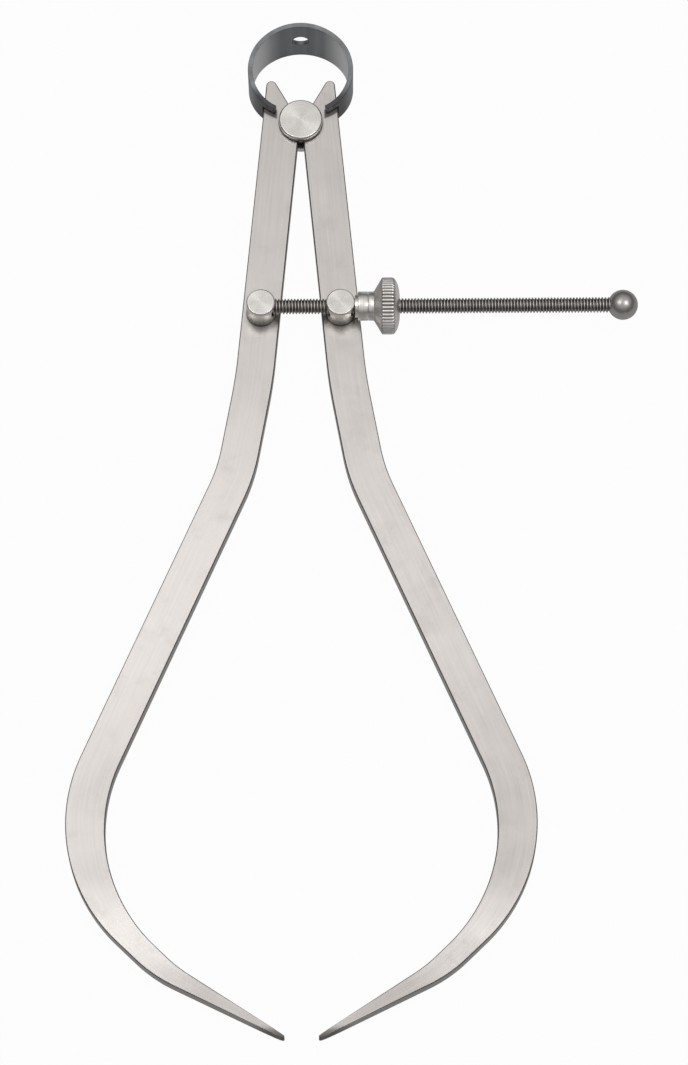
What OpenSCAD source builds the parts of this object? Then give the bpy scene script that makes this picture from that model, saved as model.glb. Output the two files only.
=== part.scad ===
// Outside spring caliper: two bowed legs that turn on a grooved fulcrum roller, a forked bow
// spring that holds them on it, and an adjusting screw with a knurled nut across two swivel studs.
// Millimetres and degrees. The origin is the hang hole in the crown of the bow. Y runs along the
// middle plane with the tips towards -Y, Z is square to the legs and X runs along the screw.

/* [Legs] */
// Depth of the tips below the fulcrum
reach = 302.8; // [296:0.1:310]
// Gap between the tips as the caliper lies
tip_gap = 10.2; // [4:0.1:14]
// Rounding of the tips
tip_r = 0.5; // [0.4:0.1:1]
// Width of the legs as far as the foot
leg_w = 12; // [11:0.1:13]
// Thickness of the legs
leg_t = 5; // [4:0.1:6]
// Gap between the blades at the height of the fulcrum
blade_gap = 0.6; // [0.4:0.1:1]
// Lean of the blade from the middle plane
blade_lean = 5.3; // [4.8:0.1:5.8]
// Depth where the bend starts to leave the blade
bend_top = 89; // [86:0.5:95]
// Lean of the leg half way through the bend
bend_lean = 10.1; // [8:0.1:12]
// Depth where the bend runs into the shank
bend_low = 120; // [117:0.5:123]
// Lean of the straight shank
shank_lean = 23.4; // [22:0.1:24.5]
// Depth of the corner that the foot rounds off
foot_depth = 247.7; // [244:0.1:250]
// Width of the leg across the instep
instep_w = 7.2; // [6.5:0.1:8]
// Length of the toe, from the tip along the line to the foot's corner
toe_l = 42.4; // [36:0.1:48]
// Height of the bend between instep and toe outside that line
toe_bow = 7.65; // [6:0.05:9]
// Distance along the instep from the bend's outer corner to its inner one
toe_lag = 3.2; // [1:0.1:5]
// Radius of the first curve of the bend, outer edge
bend_r_top = 160; // [100:5:200]
// Radius of the second curve of the bend, outer edge
bend_r_low = 54; // [40:1:70]
// Radius of the foot, outer edge
foot_r_out = 52.5; // [44:0.5:55]
// Radius of the foot, inner edge
foot_r_in = 51.5; // [44:0.5:54]
// Radius between instep and toe
toe_r = 45; // [30:1:55]

/* [Head] */
// Widest opening between the tips, where the horns meet
capacity = 300; // [270:1:310]
// Rounding of the horns' ends
horn_r = 1.65; // [1:0.05:2]
// Gap that is left between the horns at the widest opening
stop_gap = 0.3; // [0.2:0.05:0.6]

/* [Fulcrum roller] */
// Diameter of the core that the legs turn on
core_d = 9; // [8:0.1:10]
// Diameter of the flanges
flange_d = 14; // [12:0.1:15]
// Thickness of each flange
flange_t = 2.35; // [1.5:0.05:3]
// Chamfer of the flanges
flange_c = 0.4; // [0.2:0.05:0.6]

/* [Bow spring] */
// Outside width of the bow
bow_d = 34; // [33:0.1:36]
// Outside radius of the bow's sides
side_r = 14.9; // [14:0.1:16]
// Half of the turn over the crown, where the bow is a little flatter than at its sides
crown_turn = 46.4; // [40:0.1:55]
// Height of the bow's widest place above the fulcrum
bow_rise = 16.6; // [16:0.1:17.5]
// Thickness of the strap
bow_t = 1.5; // [1.2:0.1:1.8]
// Width of the strap over the crown
bow_w = 19.5; // [18:0.1:22]
// Width of the strap where the forks begin
strap_end_w = 12; // [11:0.1:14]
// Length of the prongs beside the legs
prong_l = 4.4; // [3:0.1:5]
// Radius of the notch in the leg that takes the fork
notch_r = 1.8; // [1.6:0.1:2]
// Diameter of the hang hole in the crown
hang_hole_d = 5.2; // [4:0.1:6]

/* [Studs] */
// Depth of the studs below the fulcrum
stud_depth = 67.4; // [62:0.1:72]
// Diameter of the studs
stud_d = 9.1; // [8.5:0.1:10]
// Height of the studs above the legs
stud_h = 8.5; // [8.2:0.1:10]
// Chamfer round the studs' faces
stud_c = 0.35; // [0.2:0.05:0.5]
// Height of the screw's axis above the legs
screw_rise = 4.9; // [4.9:0.05:5.1]
// Diameter of the hole through the stud
cross_hole_d = 6; // [5.4:0.1:6.4]
// Depth of that hole's floor past the middle of the screw's stud
cross_floor = 0.8; // [0:0.1:1.5]
// Diameter of the shank in the leg
shank_d = 5; // [4:0.1:6]
// Diameter of the washer behind the leg
back_washer_d = 8.4; // [7.5:0.1:10]
// Thickness of the washer behind the leg
back_washer_t = 0.8; // [0.5:0.1:1.2]
// Diameter of the riveted end
rivet_d = 6.6; // [6.3:0.1:7]
// Height of the riveted end
rivet_h = 0.9; // [0.5:0.1:1.2]

/* [Adjusting screw] */
// Diameter over the thread
screw_d = 4.9; // [4.5:0.1:5]
// Distance from the screw's stud to the middle of the ball
screw_l = 114.2; // [112:0.1:120]
// Diameter of the spigots at both ends
spigot_d = 3.5; // [3:0.1:4]
// Length of the spigot in the stud
stud_spigot_l = 4; // [2:0.1:4.5]
// Length of the spigot in the ball
ball_spigot_l = 5; // [3:0.1:6]
// Diameter of the ball
ball_d = 9.5; // [8:0.1:11]

/* [Thrust washer] */
// Diameter of the washer
thrust_d = 9.2; // [8.6:0.1:9.2]
// Thickness of the washer
thrust_t = 3.2; // [2.5:0.1:4]
// Diameter of its boss, which bears on the stud
boss_d = 7.2; // [6.4:0.1:8]
// Length of the boss
boss_l = 0.9; // [0.5:0.1:1.5]
// Chamfer of the washer and the hub
thrust_c = 0.15; // [0.1:0.05:0.4]

/* [Adjusting nut] */
// Diameter over the knurl
nut_d = 18; // [16:0.1:18.5]
// Width of the knurled rim
rim_w = 5.1; // [4:0.1:6]
// Rounding of the rim towards the cone
rim_r = 0.6; // [0.4:0.1:1]
// Rounding of the rim towards the domed end
end_r = 1.7; // [1:0.1:2]
// Number of grooves in the knurl
knurls = 46; // [36:1:50]
// Depth of the knurl
knurl_depth = 0.4; // [0.2:0.05:0.5]
// Diameter of the hub
hub_d = 9.2; // [8.6:0.1:9.2]
// Length of the hub
hub_l = 1.6; // [1:0.1:3]
// Length of the cone between hub and rim
cone_l = 2.3; // [2:0.1:4]
// Height of the domed end
dome_h = 0.7; // [0.5:0.1:1.5]

/* [Clearances] */
// Radial clearance of running fits
run_c = 0.05; // [0.03:0.01:0.1]
// Radial clearance of seated fits
seat_c = 0.02; // [0.01:0.01:0.03]
// Side play of what turns against a leg
play = 0.15; // [0.1:0.05:0.3]
// Play of the fork beside the leg
fork_play = 0.3; // [0.2:0.05:0.4]
// Gap between the thrust washer and the nut
nut_gap = 0.3; // [0.2:0.05:0.5]

/* [Hidden] */
$fn = 96;
arc_step = 2.5;
eps = 0.01;

// Where the tips stand and how far each leg swings out to the widest opening
tip_c = [tip_gap / 2 + tip_r, tip_r - reach];
tip_in = tip_c - [tip_r, 0];
swing = asin(capacity / 2 / norm(tip_in)) - atan2(tip_in.x, -tip_in.y);

// Lines of the right leg's edges: the way down a line, and the way across it to the inner edge
function down(lean) = [sin(lean), -cos(lean)];
function inwards(lean) = [-cos(lean), -sin(lean)];
function below(p, lean, depth) = p + down(lean) * (depth + p.y) / cos(lean);
function meet(p, p_lean, q, q_lean) =
  p + down(p_lean) * cross(q - p, down(q_lean)) / cross(down(p_lean), down(q_lean));
function lean(p, q) = atan2(q.x - p.x, p.y - q.y);
function unit(v) = v / norm(v);

edge_o = [blade_gap / 2 + leg_w / cos(blade_lean), 0];
edge_i = [blade_gap / 2, 0];
bend_top_o = below(edge_o, blade_lean, bend_top);
bend_low_o = below(bend_top_o, bend_lean, bend_low);
foot_o = below(bend_low_o, shank_lean, foot_depth);
bend_in = bend_top_o + inwards(bend_lean) * leg_w;
shank_in = bend_low_o + inwards(shank_lean) * leg_w;
bend_top_i = meet(edge_i, blade_lean, bend_in, bend_lean);
bend_low_i = meet(bend_in, bend_lean, shank_in, shank_lean);

// The foot runs from its corner to the tip, with the bend between instep and toe outside that line,
// and both edges of the toe touch the tip's rounding
foot_way = unit(tip_c - foot_o);
instep_o = tip_c - foot_way * toe_l + [-foot_way.y, foot_way.x] * toe_bow;
instep_lean = lean(foot_o, instep_o);
instep_i = instep_o + inwards(instep_lean) * instep_w + down(instep_lean) * toe_lag;
foot_i = meet(shank_in, shank_lean, instep_i, instep_lean);
toe_lean_o = lean(instep_o, tip_c) + asin(tip_r / norm(tip_c - instep_o));
toe_lean_i = lean(instep_i, tip_c) - asin(tip_r / norm(tip_c - instep_i));
tip = meet(instep_o, toe_lean_o, instep_i, toe_lean_i);

// The horn's inner face stands square to the middle plane at the widest opening
horn_way = [sin(swing), cos(swing)];
horn_root = horn_way * core_d / 4 + [cos(swing), -sin(swing)] * stop_gap / 2;
horn_end = meet(edge_o, blade_lean, horn_root, 180 - swing);

// Corners of the right leg, each with the radius that rounds it
leg_corners = [
  [horn_end, horn_r],
  [bend_top_o, bend_r_top],
  [bend_low_o, bend_r_low],
  [foot_o, foot_r_out],
  [instep_o, toe_r],
  [tip, tip_r],
  [instep_i, toe_r],
  [foot_i, foot_r_in],
  [bend_low_i, bend_r_low + leg_w],
  [bend_top_i, bend_r_top + leg_w],
  [edge_i, 0],
  [horn_root, 0]
];

// A rounding that would run into the next one is limited by the edge between them
function half_angle(before, p, after) = acos(unit(before - p) * unit(after - p)) / 2;
function rounded_corner(before, p, after, r) =
  let (
    a = unit(before - p),
    b = unit(after - p),
    half = half_angle(before, p, after),
    centre = p + unit(a + b) * r / sin(half),
    start = p + a * r / tan(half) - centre,
    turn = sign(cross(b, a)) * (180 - 2 * half),
    steps = ceil(abs(turn) / arc_step)
  )
  [
    for (i = [0:steps])
      let (angle = atan2(start.y, start.x) + turn * i / steps)
        centre + r * [cos(angle), sin(angle)]
  ];
function rounded(corners) =
  let (
    n = len(corners),
    p = [for (c = corners) c[0]],
    r = [for (c = corners) c[1]],
    before = [for (i = [0:n - 1]) p[(i + n - 1) % n]],
    after = [for (i = [0:n - 1]) p[(i + 1) % n]],
    run = [for (i = [0:n - 1]) r[i] / tan(half_angle(before[i], p[i], after[i]))],
    fit = [for (i = [0:n - 1]) min(1, norm(after[i] - p[i]) / max(eps, run[i] + run[(i + 1) % n]))]
  )
  [
    for (i = [0:n - 1])
      each r[i] == 0
        ? [p[i]]
        : rounded_corner(before[i], p[i], after[i], r[i] * min(fit[i], fit[(i + n - 1) % n]))
  ];

// Bow spring: the arc over the crown runs smoothly into one on each side
side_c = [bow_d / 2 - side_r, bow_rise];
crown_r = side_r + side_c.x / sin(crown_turn);
crown_low = bow_rise - side_c.x / tan(crown_turn);
crown_y = crown_low + crown_r;

// The slot of each fork ends where the strap crosses the leg's outer edge
side_mid_r = side_r - bow_t / 2;
edge_fall = (edge_o - side_c) * down(blade_lean);
edge_up = edge_fall - sqrt(edge_fall ^ 2 - norm(edge_o - side_c) ^ 2 + side_mid_r ^ 2);
notch_c = edge_o - down(blade_lean) * edge_up;
fork_angle = atan2(notch_c.y - side_c.y, notch_c.x - side_c.x);
prong_angle = prong_l / side_mid_r * 180 / PI;
bow_end = fork_angle - prong_angle;
fork_w = leg_t + 2 * fork_play;
strap_taper = atan((bow_w - strap_end_w) / 2 / (crown_y - notch_c.y));

// Studs on the middle of the blades, and the screw across them
leg_front = leg_t / 2;
stud_x = blade_gap / 2 + leg_w / 2 / cos(blade_lean) + stud_depth * tan(blade_lean);
screw_z = leg_front + screw_rise;
stud_top = leg_front + stud_h;
back_washer_top = -leg_front - play;
back_washer_low = back_washer_top - back_washer_t;

// Along the screw, measured from the middle of a stud
ball_r = ball_d / 2;
screw_r = screw_d / 2;
screw_end = screw_l - sqrt(ball_r ^ 2 - screw_r ^ 2);
thrust_x = stud_d / 2 + seat_c + boss_l;
nut_x = thrust_x + thrust_t + nut_gap;
bore_r = screw_r + run_c;

steel = [0.78, 0.77, 0.75];
turned = [0.72, 0.71, 0.69];
blued = [0.3, 0.31, 0.33];
blackened = [0.2, 0.2, 0.2];

// From the fulcrum to the frame's origin in the crown
module from_fulcrum() {
  translate([0, -crown_y, 0])
    children();
}

// A stud's place on the left (-1) or the right (1) leg
module at_stud(side) {
  from_fulcrum()
    translate([side * stud_x, -stud_depth, 0])
      children();
}

// The screw's axis from the middle of a stud: what is drawn along Z here runs along X
module along_screw() {
  translate([0, 0, screw_z])
    rotate([0, 90, 0])
      children();
}

module leg() {
  difference() {
    translate([0, 0, -leg_t / 2])
      linear_extrude(leg_t)
        polygon(rounded(leg_corners));
    translate([0, 0, -leg_t])
      cylinder(r = core_d / 2 + run_c, h = 2 * leg_t);
    translate([notch_c.x, notch_c.y, -leg_t])
      cylinder(r = notch_r, h = 2 * leg_t);
    translate([stud_x, -stud_depth, -leg_t])
      cylinder(r = shank_d / 2 + run_c, h = 2 * leg_t);
  }
}

module left_leg() {
  color(steel)
    from_fulcrum()
      mirror([1, 0, 0])
        leg();
}

module right_leg() {
  color(steel)
    from_fulcrum()
      leg();
}

// A spool turned in one piece, with the legs' seats in its groove
module fulcrum_roller() {
  groove = leg_t / 2 + play;
  height = groove + flange_t;
  r = flange_d / 2;
  color(turned)
    from_fulcrum()
      rotate_extrude()
        polygon([
          [0, -height],
          [r - flange_c, -height],
          [r, flange_c - height],
          [r, -groove],
          [core_d / 2, -groove],
          [core_d / 2, groove],
          [r, groove],
          [r, height - flange_c],
          [r - flange_c, height],
          [0, height]
        ]);
}

// The middle of the bow's right side
module at_side() {
  translate([side_c.x, side_c.y, 0])
    children();
}

// A stretch of the strap before its edges are tapered
module strap_arc(r, start, turn) {
  blank_w = bow_w + 2 * bow_t;
  rotate([0, 0, start])
    rotate_extrude(angle = turn)
      translate([r - bow_t, -blank_w / 2])
        square([bow_t, blank_w]);
}

module fork_slot() {
  rotate([0, 0, fork_angle])
    translate([side_r - 2 * bow_t, -2 * prong_l, -fork_w / 2])
      cube([3 * bow_t, 2 * prong_l, fork_w]);
}

// What the taper takes off the strap's front
module taper_cut() {
  translate([0, crown_y, bow_w / 2])
    rotate([strap_taper, 0, 0])
      translate([-bow_d, -2 * crown_y, 0])
        cube([2 * bow_d, 3 * crown_y, bow_w]);
}

module bow_spring() {
  color(blued)
    from_fulcrum()
      difference() {
        union() {
          translate([0, crown_low, 0])
            strap_arc(crown_r, 90 - crown_turn, 2 * crown_turn);
          for (side = [0, 1])
            mirror([side, 0, 0])
              at_side()
                strap_arc(side_r, bow_end, 90 - crown_turn - bow_end);
        }
        for (side = [0, 1])
          mirror([side, 0, 0])
            at_side()
              fork_slot();
        for (face = [0, 1])
          mirror([0, 0, face])
            taper_cut();
        translate([0, crown_low, 0])
          rotate([-90, 0, 0])
            cylinder(d = hang_hole_d, h = 2 * crown_r);
      }
}

// A turned stud: the head stands on the leg, and the shank behind it is riveted over its washer
module stud_body() {
  shank_r = shank_d / 2;
  rivet_r = rivet_d / 2;
  rivet_low = back_washer_low - rivet_h;
  head_r = stud_d / 2;
  rotate_extrude()
    polygon([
      [0, rivet_low],
      [rivet_r - rivet_h / 2, rivet_low],
      [rivet_r, rivet_low + rivet_h / 2],
      [rivet_r, back_washer_low],
      [shank_r, back_washer_low],
      [shank_r, leg_front + play],
      [head_r, leg_front + play],
      [head_r, stud_top - stud_c],
      [head_r - stud_c, stud_top],
      [0, stud_top]
    ]);
}

module stud_washer() {
  translate([0, 0, back_washer_low])
    difference() {
      cylinder(d = back_washer_d, h = back_washer_t);
      translate([0, 0, -eps])
        cylinder(r = shank_d / 2 + seat_c, h = back_washer_t + 2 * eps);
    }
}

// The screw's stud: a hole with a floor takes the thread, and a smaller one the spigot
module screw_stud() {
  color(turned)
    at_stud(-1)
      difference() {
        stud_body();
        along_screw()
          translate([0, 0, cross_floor])
            cylinder(d = cross_hole_d, h = stud_d);
        along_screw()
          translate([0, 0, cross_floor - stud_spigot_l - seat_c])
            cylinder(r = spigot_d / 2 + seat_c, h = stud_d);
      }
}

module screw_stud_washer() {
  color(turned)
    at_stud(-1)
      stud_washer();
}

module adjusting_screw() {
  color(blackened)
    at_stud(-1)
      along_screw()
        union() {
          translate([0, 0, cross_floor - stud_spigot_l])
            cylinder(d = spigot_d, h = screw_end - cross_floor + stud_spigot_l + ball_spigot_l);
          translate([0, 0, cross_floor])
            cylinder(d = screw_d, h = screw_end - cross_floor);
        }
}

module ball_stop() {
  color(turned)
    at_stud(-1)
      along_screw()
        difference() {
          translate([0, 0, screw_l])
            sphere(d = ball_d);
          translate([0, 0, screw_end - ball_r])
            cylinder(r = screw_r + seat_c, h = ball_r);
          translate([0, 0, screw_end - ball_r])
            cylinder(r = spigot_d / 2 + seat_c, h = ball_r + ball_spigot_l + seat_c);
        }
}

// The nut's stud: the screw passes right through it with room to spare
module nut_stud() {
  color(turned)
    at_stud(1)
      difference() {
        stud_body();
        along_screw()
          translate([0, 0, -stud_d])
            cylinder(d = cross_hole_d, h = 2 * stud_d);
      }
}

module nut_stud_washer() {
  color(turned)
    at_stud(1)
      stud_washer();
}

module thrust_washer() {
  r = thrust_d / 2;
  low = -boss_l;
  color(turned)
    at_stud(1)
      along_screw()
        translate([0, 0, thrust_x])
          rotate_extrude()
            polygon([
              [bore_r, low],
              [boss_d / 2, low],
              [boss_d / 2, 0],
              [r - thrust_c, 0],
              [r, thrust_c],
              [r, thrust_t - thrust_c],
              [r - thrust_c, thrust_t],
              [bore_r, thrust_t]
            ]);
}

// Half of the nut's section: hub, cone, rim with rounded corners, and a domed end
function nut_section() =
  let (
    r = nut_d / 2,
    rim_z = hub_l + cone_l,
    end_z = rim_z + rim_w,
    // the dome is a flat arc over the face inside the rim's outer rounding
    dome_w = r - end_r,
    dome_r = (dome_w ^ 2 + dome_h ^ 2) / (2 * dome_h),
    dome_turn = asin(dome_w / dome_r)
  )
  [
    [bore_r, 0],
    [hub_d / 2 - thrust_c, 0],
    [hub_d / 2, thrust_c],
    [hub_d / 2, hub_l],
    for (a = [-60:15:0])
      [r - rim_r, rim_z + rim_r] + rim_r * [cos(a), sin(a)],
    for (a = [0:10:80])
      [r - end_r, end_z - end_r] + end_r * [cos(a), sin(a)],
    for (a = [dome_turn:-3:asin(bore_r / dome_r)])
      [dome_r * sin(a), end_z + dome_h - dome_r * (1 - cos(a))],
    [bore_r, end_z + dome_h - dome_r + sqrt(dome_r ^ 2 - bore_r ^ 2)]
  ];

module knurl_groove() {
  side = 2 * knurl_depth / sqrt(2);
  translate([nut_d / 2, 0, hub_l + cone_l + rim_w / 2])
    rotate([0, 0, 45])
      cube([side, side, rim_w], center = true);
}

module adjusting_nut() {
  color(turned)
    at_stud(1)
      along_screw()
        translate([0, 0, nut_x])
          difference() {
            rotate_extrude()
              polygon(nut_section());
            for (i = [0:knurls - 1])
              rotate([0, 0, i * 360 / knurls])
                knurl_groove();
          }
}

left_leg();
right_leg();
fulcrum_roller();
bow_spring();
screw_stud();
screw_stud_washer();
adjusting_screw();
ball_stop();
nut_stud();
nut_stud_washer();
thrust_washer();
adjusting_nut();
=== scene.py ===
"""Looks of an outside spring caliper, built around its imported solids.

Sizes repeat the part's source, in millimetres, and become metres where a mesh is made. The fulcrum is
the zero of every sketch, and FULCRUM_Y carries it into the shared frame.
"""

import logging
import math
from contextlib import contextmanager
from dataclasses import dataclass, field
from enum import Enum
from typing import Callable, Dict, Iterator, List, Optional, Sequence, Tuple, Union

import bmesh
import bpy
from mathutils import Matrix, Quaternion, Vector

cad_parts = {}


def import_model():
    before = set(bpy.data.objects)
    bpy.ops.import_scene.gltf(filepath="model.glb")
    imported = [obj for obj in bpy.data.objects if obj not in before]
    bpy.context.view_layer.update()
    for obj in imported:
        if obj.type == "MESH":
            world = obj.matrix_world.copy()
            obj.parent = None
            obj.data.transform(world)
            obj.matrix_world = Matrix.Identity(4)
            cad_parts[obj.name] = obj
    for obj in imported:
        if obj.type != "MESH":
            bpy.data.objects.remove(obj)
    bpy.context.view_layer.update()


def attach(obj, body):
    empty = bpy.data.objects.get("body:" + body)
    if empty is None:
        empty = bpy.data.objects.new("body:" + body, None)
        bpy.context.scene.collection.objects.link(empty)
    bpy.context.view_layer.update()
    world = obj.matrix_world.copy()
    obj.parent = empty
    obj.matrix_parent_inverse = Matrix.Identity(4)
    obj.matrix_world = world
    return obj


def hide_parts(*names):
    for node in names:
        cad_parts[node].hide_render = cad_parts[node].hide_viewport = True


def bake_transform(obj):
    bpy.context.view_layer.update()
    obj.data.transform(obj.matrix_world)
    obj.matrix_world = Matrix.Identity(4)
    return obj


LOG = logging.getLogger("caliper")
MM = 0.001
MERGE = 0.0005 * MM
FULCRUM_Y = -32.4
STUD_X, STUD_Y, SCREW_Z = 12.5783, -99.8, 7.4
LEG_T, CORE_D, BOW_RISE = 5.0, 9.0, 16.6
IMAGE_W, IMAGE_H = 688, 1065

Point = Tuple[float, float]
Section = List[Point]


class Axis(Enum):
    """The way that a turned piece's axis points."""

    ALONG_Z = "z"
    ALONG_X = "x"


class Side(Enum):
    """The left or the right half of the caliper."""

    LEFT = -1
    RIGHT = 1


# Shader building


class Wire:
    """A value in a shader, so that maths on it can be written as an expression."""

    def __init__(self, paint: "Paint", socket: bpy.types.NodeSocket) -> None:
        """Args: paint: the shader it belongs to. socket: the output that carries the value."""
        self.paint = paint
        self.socket = socket

    def __add__(self, other: "Value") -> "Wire":
        """The sum."""
        return self.paint.math("ADD", self, other)

    def __radd__(self, other: float) -> "Wire":
        """The sum with a number first."""
        return self.paint.math("ADD", other, self)

    def __sub__(self, other: "Value") -> "Wire":
        """The difference."""
        return self.paint.math("SUBTRACT", self, other)

    def __rsub__(self, other: float) -> "Wire":
        """The difference with a number first."""
        return self.paint.math("SUBTRACT", other, self)

    def __mul__(self, other: "Value") -> "Wire":
        """The product."""
        return self.paint.math("MULTIPLY", self, other)

    def __rmul__(self, other: float) -> "Wire":
        """The product with a number first."""
        return self.paint.math("MULTIPLY", other, self)


Value = Union[Wire, float]
Colour = Tuple[float, float, float]


class Paint:
    """A node shader that is put together by short calls."""

    def __init__(self, tree: bpy.types.NodeTree) -> None:
        """Args: tree: the node tree, which is emptied."""
        self.tree = tree
        tree.nodes.clear()

    def node(self, kind: str, settings: Optional[Dict[str, object]] = None, **inputs: object) -> bpy.types.Node:
        """Adds one node.

        Args:
            kind: the node's type.
            settings: its own settings, which are set first.
            inputs: socket values or wires by socket name, with _ for a space, or as n0, n1 by number.

        Returns:
            The node.
        """
        made = self.tree.nodes.new(kind)
        for key, value in (settings or {}).items():
            setattr(made, key, value)
        for key, value in inputs.items():
            numbered = key[0] == "n" and key[1:].isdigit()
            self.feed(made.inputs[int(key[1:])] if numbered else made.inputs[key.replace("_", " ")], value)
        return made

    def feed(self, socket: bpy.types.NodeSocket, value: object) -> None:
        """Links a wire to a socket, or sets its number or colour."""
        if isinstance(value, Wire):
            self.tree.links.new(value.socket, socket)
        elif isinstance(value, tuple) and socket.type == "RGBA":
            socket.default_value = (*value, 1.0)
        else:
            socket.default_value = value

    def wire(self, made: bpy.types.Node, output: Union[str, int] = 0) -> Wire:
        """One output of a node as a wire."""
        return Wire(self, made.outputs[output])

    def math(self, operation: str, *values: Value) -> Wire:
        """A Math node's result."""
        sockets = {f"n{i}": v for i, v in enumerate(values)}
        return self.wire(self.node("ShaderNodeMath", {"operation": operation}, **sockets))

    def clamp(self, value: Value, low: float = 0.0, high: float = 1.0) -> Wire:
        """A value kept between two numbers."""
        return self.wire(self.node("ShaderNodeClamp", Value=value, Min=low, Max=high))

    def ramp(self, value: Wire, low: float, high: float) -> Wire:
        """A smooth step from 0 at low to 1 at high."""
        settings = {"interpolation_type": "SMOOTHSTEP"}
        made = self.node("ShaderNodeMapRange", settings, Value=value, n1=low, n2=high)
        return self.wire(made)

    def vector(self, operation: str, *values: object) -> Wire:
        """A Vector Math node's vector."""
        sockets = {f"n{i}": v for i, v in enumerate(values)}
        return self.wire(self.node("ShaderNodeVectorMath", {"operation": operation}, **sockets))

    def join(self, x: Value, y: Value, z: Value = 0.0) -> Wire:
        """A vector from three values."""
        return self.wire(self.node("ShaderNodeCombineXYZ", X=x, Y=y, Z=z))

    def split(self, vector: Wire) -> Tuple[Wire, Wire, Wire]:
        """The three values of a vector."""
        made = self.node("ShaderNodeSeparateXYZ", Vector=vector)
        return self.wire(made, 0), self.wire(made, 1), self.wire(made, 2)

    def scale(self, vector: Wire, factor: Value) -> Wire:
        """A vector times a value."""
        made = self.node("ShaderNodeVectorMath", {"operation": "SCALE"}, Vector=vector, Scale=factor)
        return self.wire(made)

    def noise(self, vector: Wire, scale: float, detail: float = 2.0, roughness: float = 0.5) -> Wire:
        """Smooth noise over a vector."""
        made = self.node("ShaderNodeTexNoise", Vector=vector, Scale=scale, Detail=detail, Roughness=roughness)
        return self.wire(made, 0)

    def noise_along(self, value: Wire, scale: float, detail: float = 2.0) -> Wire:
        """Smooth noise over one value, which gives rings or lines."""
        made = self.node("ShaderNodeTexNoise", {"noise_dimensions": "1D"}, W=value, Scale=scale, Detail=detail)
        return self.wire(made, 0)

    def mix(self, factor: Value, a: object, b: object) -> Wire:
        """A blend of two colours."""
        made = self.node("ShaderNodeMix", {"data_type": "RGBA"}, n0=factor, n6=a, n7=b)
        return self.wire(made, 2)

    def place(self, centre_mm: Sequence[float] = (0.0, 0.0, 0.0)) -> Wire:
        """Object coordinates in millimetres, from a point of the piece."""
        here = self.wire(self.node("ShaderNodeTexCoord"), "Object")
        settings = {"vector_type": "POINT"}
        offset = tuple(-v for v in centre_mm)
        made = self.node("ShaderNodeMapping", settings, Vector=here, Location=offset, Scale=(1 / MM,) * 3)
        return self.wire(made)

    def facing(self) -> Tuple[Wire, Wire, Wire]:
        """The three values of the piece's own normal."""
        return self.split(self.wire(self.node("ShaderNodeTexCoord"), "Normal"))

    def bump(self, height: Wire, distance_mm: float, strength: float) -> Wire:
        """A normal that follows a height in millimetres."""
        made = self.node("ShaderNodeBump", Strength=strength, Distance=distance_mm * MM, Height=height)
        return self.wire(made)

    def metal(self, **sockets: object) -> None:
        """Ends the shader in one metal surface."""
        shader = self.node("ShaderNodeBsdfPrincipled", Metallic=1.0)
        for key, value in sockets.items():
            self.feed(shader.inputs[key.replace("_", " ")], value)
        self.node("ShaderNodeOutputMaterial", Surface=self.wire(shader))


def new_material(name: str) -> Tuple[bpy.types.Material, Paint]:
    """A new node material and its paint."""
    material = bpy.data.materials.new(name)
    material.use_nodes = True
    return material, Paint(material.node_tree)


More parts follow.
